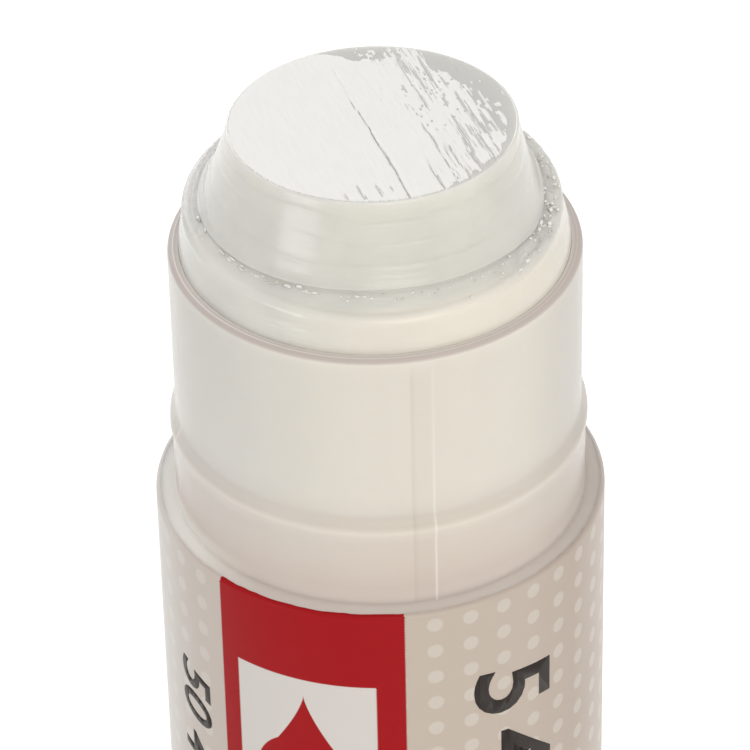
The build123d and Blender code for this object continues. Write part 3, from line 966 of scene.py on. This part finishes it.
def barrel_material():
    """Natural polypropylene, injection moulded: milky, waxy, with light inside it and a soft shine.

    Its colour carries painted light: a painted creamy glow in front, painted shade at the right, a darker,
    pinkish painted shade at the mouth, and a painted warm glow at the shoulder, where red print shines into
    it. The painted shade and highlights of what shows through its wall come from barrel_tones.
    """
    m = new_material("polypropylene_natural_moulded")
    place = node(m, "TexCoord").outputs["Object"]
    height = node(m, "SeparateXYZ", {"Vector": place}).outputs[2]
    shade, glint = [node(m, "Attribute", attribute_name=name).outputs["Fac"] for name in ("shade", "glint")]
    flow = (1 / flow_width, 1 / flow_width, 1 / flow_length)
    flow = node(m, "Mapping", {"Vector": place, "Scale": flow}).outputs[0]
    cloud = node(m, "TexNoise", {"Vector": flow, "Scale": 1.0, "Detail": 3.0}).outputs["Fac"]
    low = node(m, "MapRange", {"Value": height, "From Min": bead + 3 * mm, "From Max": shoulder}).outputs[0]
    rim = node(m, "MapRange", {"Value": height, "From Min": mouth - 0.34 * mm,
                               "From Max": mouth - 0.16 * mm}).outputs[0]
    warm = node(m, "ValToRGB", {"Fac": cloud}, stops=((0, "CBBFB8"), (1, "D1C5BE"))).outputs[0]
    colour = node(m, "ValToRGB", {"Fac": cloud}, stops=((0.3, "D9D6D1"), (0.7, "DEDBD6"))).outputs[0]
    # Painted light over the plastic's own tone: a creamy glow in front, a warm glow low down from the red
    # print, shade at the right and a darker pinkish shade at the mouth, then barrel_tones' painted shade and
    # highlights
    for share, tone in (
        (facing(m, place, 15, 8 * mm, 13.5 * mm, 0.4), linear("E9E0D2")),
        (low, warm),
        (facing(m, place, 95, 8.5 * mm, 13.3 * mm, 0.34), linear("ADA49E")),
        (rim, linear("C3B9B5")),
        (shade, linear("A39A90")),
        (glint, linear("F4F2EC")),
    ):
        colour = node(m, "Mix", {0: share, 6: colour, 7: tone}, data_type="RGBA").outputs[2]
    grain = node(m, "TexNoise", {"Vector": place, "Scale": 1 / barrel_grain, "Detail": 2.0}).outputs["Fac"]
    bump = node(m, "Bump", {"Height": grain, "Strength": 0.12, "Distance": 0.1 * mm}).outputs[0]
    inner = node(m, "MapRange", {"Value": rim, "To Min": 0.8, "To Max": 0.0}).outputs[0]
    shader = node(m, "BsdfPrincipled", {
        "Base Color": colour, "Roughness": 0.22, "IOR": 1.49, "Specular IOR Level": 0.05,
        "Subsurface Weight": inner, "Subsurface Radius": milk_reach, "Subsurface Scale": 1.5 * mm,
        "Normal": bump})
    node(m, "OutputMaterial", {"Surface": shader.outputs[0]})
    return m


# Print on the film, in millimetres from the front and below the shoulder
panel_left, panel_right = -11.9, 1.35
panel_top, panel_foot = -2.0, 58.0
window_left, window_right = -10.5, -0.6
window_top, window_foot = 6.0, 34.0
drop_centre = -5.55
drop_tip, drop_belly, drop_radius = 7.4, 14.6, 3.6
dot_pitch_across, dot_pitch_down, dot_radius = 2.46, 2.2, 0.54
dot_first_across, dot_first_down = 3.35, 1.05
serration_pitch, serration_height = 0.24, 0.035
ink_edge, dot_edge = 0.03, 0.06
# Tones of the clear film's ground, with the barrel and the gel behind it, by arc length from the front, with
# painted light in them: paler at the left and towards the back, darkest 15 mm round at the right front
ground_span = 80.0
ground_light_tones = [(-32, "DED8D3"), (-19, "DBD4CE"), (-14.5, "D1C6BE"), (-8, "CBBEB4"), (0, "C9BCB0"),
                (10, "C7B9AE"), (15, "C0B1A6"), (20, "C9BDB5"), (32, "DAD3CE")]


def band(m, value, low, high):
    """1 where a value lies between two edges, each of them soft, and 0 outside."""
    rise = node(m, "MapRange", {"Value": value, "From Min": low - ink_edge,
                                "From Max": low + ink_edge}).outputs[0]
    fall = node(m, "MapRange", {"Value": value, "From Min": high - ink_edge, "From Max": high + ink_edge,
                                "To Min": 1.0, "To Max": 0.0}).outputs[0]
    return node(m, "Math", {0: rise, 1: fall}, operation="MULTIPLY").outputs[0]


def box_area(m, across, down, left, right, top, foot):
    """1 inside a box of the film and 0 outside it: a band across times a band down."""
    return node(m, "Math", {0: band(m, across, left, right), 1: band(m, down, top, foot)},
                operation="MULTIPLY").outputs[0]


def disc_area(m, across, down, radius, soft):
    """1 where a step across and down is shorter than a radius, and 0 beyond it, with a soft edge."""
    step = node(m, "CombineXYZ", {0: across, 1: down}).outputs[0]
    length = node(m, "VectorMath", {0: step}, operation="LENGTH").outputs[1]
    return node(m, "MapRange", {"Value": length, "From Min": radius - soft, "From Max": radius + soft,
                                "To Min": 1.0, "To Max": 0.0}).outputs[0]


def drop_area(m, across, down):
    """1 inside a drop and 0 outside it: a disc below, and above it a width that narrows to the tip."""
    off = node(m, "Math", {0: across, 1: drop_centre}, operation="SUBTRACT").outputs[0]
    off = node(m, "Math", {0: off}, operation="ABSOLUTE").outputs[0]
    low = node(m, "Math", {0: down, 1: drop_belly}, operation="SUBTRACT").outputs[0]
    disc = disc_area(m, off, low, drop_radius, ink_edge)
    rise = node(m, "MapRange", {"Value": down, "From Min": drop_tip, "From Max": drop_belly - 1.0}).outputs[0]
    width = node(m, "Math", {0: rise, 1: 1.35}, operation="POWER").outputs[0]
    width = node(m, "Math", {0: width, 1: drop_radius * 0.93}, operation="MULTIPLY").outputs[0]
    inside = node(m, "Math", {0: width, 1: off}, operation="SUBTRACT").outputs[0]
    cone = node(m, "MapRange", {"Value": inside, "From Min": -ink_edge, "From Max": ink_edge}).outputs[0]
    cone = node(m, "Math", {0: cone, 1: band(m, down, drop_tip, drop_belly)}, operation="MULTIPLY").outputs[0]
    return node(m, "Math", {0: disc, 1: cone}, operation="MAXIMUM").outputs[0]


def off_cell(m, value, first, pitch):
    """Offset of a value from the middle of its cell, where the middle of one cell is at first."""
    value = node(m, "Math", {0: value, 1: first - 0.5 * pitch}, operation="SUBTRACT").outputs[0]
    value = node(m, "Math", {0: value, 1: pitch}, operation="FLOORED_MODULO").outputs[0]
    return node(m, "Math", {0: value, 1: 0.5 * pitch}, operation="SUBTRACT").outputs[0]


def film_material():
    """Clear polypropylene film, gravure printed with a red panel, a pale window in it, and dots round it."""
    m = new_material("polypropylene_film_printed")
    place = node(m, "TexCoord").outputs["UV"]
    parts = node(m, "SeparateXYZ", {"Vector": place}).outputs
    across, down = [node(m, "Math", {0: part, 1: print_unit / mm}, operation="MULTIPLY").outputs[0]
                    for part in (parts[0], parts[1])]
    wave = node(m, "Math", {0: down, 1: tau / serration_pitch}, operation="MULTIPLY").outputs[0]
    wave = node(m, "Math", {0: wave}, operation="SINE").outputs[0]
    wave = node(m, "Math", {0: wave, 1: serration_height}, operation="MULTIPLY").outputs[0]
    jagged = node(m, "Math", {0: across, 1: wave}, operation="ADD").outputs[0]
    panel = box_area(m, jagged, down, panel_left, panel_right, panel_top, panel_foot)
    window = box_area(m, jagged, down, window_left, window_right, window_top, window_foot)
    drop = drop_area(m, across, down)
    pale = node(m, "Math", {0: window, 1: drop}, operation="SUBTRACT", use_clamp=True).outputs[0]
    red = node(m, "Math", {0: panel, 1: pale}, operation="SUBTRACT", use_clamp=True).outputs[0]

    # Dots on a square grid, everywhere but in the panel
    column = off_cell(m, across, dot_first_across, dot_pitch_across)
    row = off_cell(m, down, dot_first_down, dot_pitch_down)
    dots = disc_area(m, column, row, dot_radius, dot_edge)
    clear = node(m, "Math", {0: 1.0, 1: panel}, operation="SUBTRACT").outputs[0]
    dots = node(m, "Math", {0: dots, 1: clear}, operation="MULTIPLY").outputs[0]
    dots = node(m, "Math", {0: dots, 1: 0.3}, operation="MULTIPLY").outputs[0]

    cloud = node(m, "TexNoise", {"Vector": place, "Scale": print_unit / tone_patch,
                                 "Detail": 3.0}).outputs["Fac"]
    wander = node(m, "MapRange", {"Value": cloud, "To Min": -1.5, "To Max": 1.5}).outputs[0]
    arc = node(m, "Math", {0: across, 1: wander}, operation="ADD").outputs[0]
    # Painted light round the film: the ground's tones are paler at the left and back and darkest at the right
    # front
    turn = node(m, "MapRange", {"Value": arc, "From Min": -ground_span / 2,
                                "From Max": ground_span / 2}).outputs[0]
    ground = [(0.5 + arc / ground_span, tone) for arc, tone in ground_light_tones]
    colour = node(m, "ValToRGB", {"Fac": turn}, stops=ground).outputs[0]
    ink = node(m, "TexNoise", {"Vector": place, "Scale": print_unit / ink_cell, "Detail": 1.0}).outputs["Fac"]
    reds = node(m, "ValToRGB", {"Fac": ink}, stops=((0, "A0141A"), (1, "A8181E"))).outputs[0]
    for share, tone in ((dots, linear("EAE8E2")), (pale, linear("DCD6D3")), (red, reds)):
        colour = node(m, "Mix", {0: share, 6: colour, 7: tone}, data_type="RGBA").outputs[2]
    wrinkle = node(m, "TexNoise", {"Vector": place, "Scale": print_unit / film_wrinkle,
                                   "Detail": 2.0}).outputs["Fac"]
    bump = node(m, "Bump", {"Height": wrinkle, "Strength": 0.10, "Distance": 0.5 * mm}).outputs[0]
    shader = node(m, "BsdfPrincipled", {
        "Base Color": colour, "Roughness": 0.34, "IOR": 1.49, "Specular IOR Level": 0.08,
        "Subsurface Weight": 0.15, "Subsurface Radius": milk_reach, "Subsurface Scale": 1.0 * mm,
        "Normal": bump})
    node(m, "OutputMaterial", {"Surface": shader.outputs[0]})
    return m


def plastic_material(name, light, dark, roughness, grain, inner):
    """Injection-moulded polypropylene: two close shades and a fine spark-eroded grain."""
    m = new_material(name)
    place = node(m, "TexCoord").outputs["Object"]
    cloud = node(m, "TexNoise", {"Vector": place, "Scale": 1 / plastic_cloud, "Detail": 3.0}).outputs["Fac"]
    shades = node(m, "ValToRGB", {"Fac": cloud}, stops=((0, dark), (1, light))).outputs[0]
    grains = node(m, "TexNoise", {"Vector": place, "Scale": 1 / grain, "Detail": 2.0}).outputs["Fac"]
    bump = node(m, "Bump", {"Height": grains, "Strength": 0.25, "Distance": 0.08 * mm}).outputs[0]
    shader = node(m, "BsdfPrincipled", {
        "Base Color": shades, "Roughness": roughness, "IOR": 1.49, "Subsurface Weight": inner,
        "Subsurface Radius": plastic_reach, "Subsurface Scale": 1.5 * mm, "Normal": bump})
    node(m, "OutputMaterial", {"Surface": shader.outputs[0]})
    return m


def ink_material():
    """Dark gravure ink on the film: nearly black, warm, with a satin shine."""
    m = new_material("ink_dark_gravure")
    place = node(m, "TexCoord").outputs["Object"]
    cells = node(m, "TexNoise", {"Vector": place, "Scale": 1 / numeral_grain, "Detail": 1.0}).outputs["Fac"]
    shades = node(m, "ValToRGB", {"Fac": cells}, stops=((0, "2A2523"), (1, "38312E"))).outputs[0]
    shader = node(m, "BsdfPrincipled", {
        "Base Color": shades, "Roughness": 0.38, "IOR": 1.49, "Specular IOR Level": 0.15})
    node(m, "OutputMaterial", {"Surface": shader.outputs[0]})
    return m


# Pieces, on the bodies that carry them

finish_piece(make_barrel(), "barrel", barrel_material(), "barrel_plastic", "barrel")
finish_piece(make_film(), "barrel", film_material(), "printed_film", "label")
finish_piece(make_glue(), "piston", gel_material(), "glue_gel", "glue")
finish_piece(make_crumbs(), "piston", crumb_material(), "glue_gel")
knob_plastic = plastic_material("polypropylene_red_moulded", "AE2229", "A41D25", 0.33, knob_grain, 0.1)
finish_piece(make_knob(), "knob", knob_plastic, "knob_plastic", "base_knob")
finish_piece(make_hub(), "knob", knob_plastic, "knob_plastic")
finish_piece(make_stiffeners(), "knob", knob_plastic, "knob_plastic")
white_plastic = plastic_material("polypropylene_white_moulded", "EAE8E2", "E3E1DA", 0.42, white_grain, 0.3)
for name in ("spindle", "carrier"):
    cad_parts[name].data.materials.clear()
    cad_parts[name].data.materials.append(white_plastic)

dark_ink = ink_material()
first_drop, numeral_pitch = 5.95 * mm, 5.6 * mm
prints = [(f"fill_numeral_{numeral}", numeral, 6.0 * mm, 6.2 * mm, first_drop + i * numeral_pitch,
           0.13 * mm, 0.12) for i, numeral in enumerate("54321")]
prints.append(("small_scale", "50 40 30 20 10", 3.3 * mm, -16.8 * mm, 9.3 * mm, 0.07 * mm, 0.2))
for text in prints:
    finish_piece(wrapped_text(*text), "barrel", dark_ink, "printed_film")


# Stage, lights and camera

def softbox(name, azimuth, elevation, distance, width, height, colour, brightness, reflected_only=False):
    """Area light aimed at the glue. Its power is pi times its area times brightness, where 1 is white."""
    light = bpy.data.lights.new(name, "AREA")
    light.shape = "RECTANGLE"
    light.size, light.size_y = width, height
    light.color = colour
    light.energy = brightness * pi * width * height
    lamp = add_object(name, light)
    a, e = radians(azimuth), radians(elevation)
    back = Vector((sin(a) * cos(e), -cos(a) * cos(e), sin(e)))
    lamp.rotation_mode = "QUATERNION"
    lamp.rotation_quaternion = (-back).to_track_quat("-Z", "Y")
    lamp.location = Vector((0, 0, mouth)) + back * distance
    lamp.visible_camera = False
    lamp.visible_diffuse = not reflected_only


def shown_white(m):
    """1 for rays that should see a white background: from the camera, a reflection or a refraction."""
    path = node(m, "LightPath").outputs
    shown = 0.0
    for ray in ("Is Camera Ray", "Is Glossy Ray", "Is Transmission Ray"):
        shown = node(m, "Math", {0: shown, 1: path[ray]}, operation="MAXIMUM").outputs[0]
    return shown


def make_world():
    """White for camera, glossy and transmission rays, and a plain soft light for the rest."""
    world = bpy.data.worlds.new("studio")
    bpy.context.scene.world = world
    world.use_nodes = True
    world.node_tree.nodes.clear()
    shown = shown_white(world)
    strength = node(world, "MapRange", {"Value": shown, "To Min": 0.76, "To Max": 1.0}).outputs[0]
    sky = node(world, "Background", {"Color": (1, 1, 1, 1), "Strength": strength})
    node(world, "OutputWorld", {"Surface": sky.outputs[0]})


def make_floor():
    """Pale floor that keeps the stick's shadow, lifted to white for the camera."""
    size = 3.0
    points = np.array([[-size, -size, 0], [size, -size, 0], [size, size, 0], [-size, size, 0]], float)
    floor = add_mesh("floor", points, np.array([[0, 1, 2, 3]]))
    m = new_material("paper_sweep_white")
    paper = node(m, "BsdfDiffuse", {"Color": linear("F0F0EE")})
    lift = node(m, "MapRange", {"Value": shown_white(m), "To Min": 0.0, "To Max": 0.4}).outputs[0]
    glow = node(m, "Emission", {"Color": (1, 1, 1, 1), "Strength": lift})
    both = node(m, "AddShader", {0: paper.outputs[0], 1: glow.outputs[0]})
    node(m, "OutputMaterial", {"Surface": both.outputs[0]})
    floor.data.materials.append(m)


def make_camera():
    """Camera at the photograph's place: above the front, looking down, with a long lens and a slight roll."""
    elevation, roll = radians(36.65), radians(-1.3475)
    distance = 319.97 * mm
    target = Vector((-0.1997 * mm, 0, 88.548 * mm))
    back = Vector((0, -cos(elevation), sin(elevation)))
    data = bpy.data.cameras.new("camera")
    data.sensor_width = 36.0
    data.lens = 232.0
    data.clip_start, data.clip_end = 0.01, 20
    camera = add_object("camera", data)
    turn = (-back).to_track_quat("-Z", "Y").to_matrix() @ Matrix.Rotation(roll, 3, "Z")
    camera.matrix_world = Matrix.Translation(target + back * distance) @ turn.to_4x4()
    bpy.context.scene.camera = camera


make_world()
make_floor()
softbox("key_front", 18, 29, 0.9, 0.6, 0.6, (1.0, 0.93, 0.79), 2.3)
softbox("back_left", -150, 20, 0.9, 0.5, 0.6, (0.98, 0.97, 1.0), 2.1)
softbox("strip_left", -52, -6, 0.3, 0.135, 0.13, (0.9, 0.93, 1.0), 3.3, reflected_only=True)
make_camera()
bpy.context.scene.view_settings.view_transform = "Standard"

bpy.context.view_layer.update()
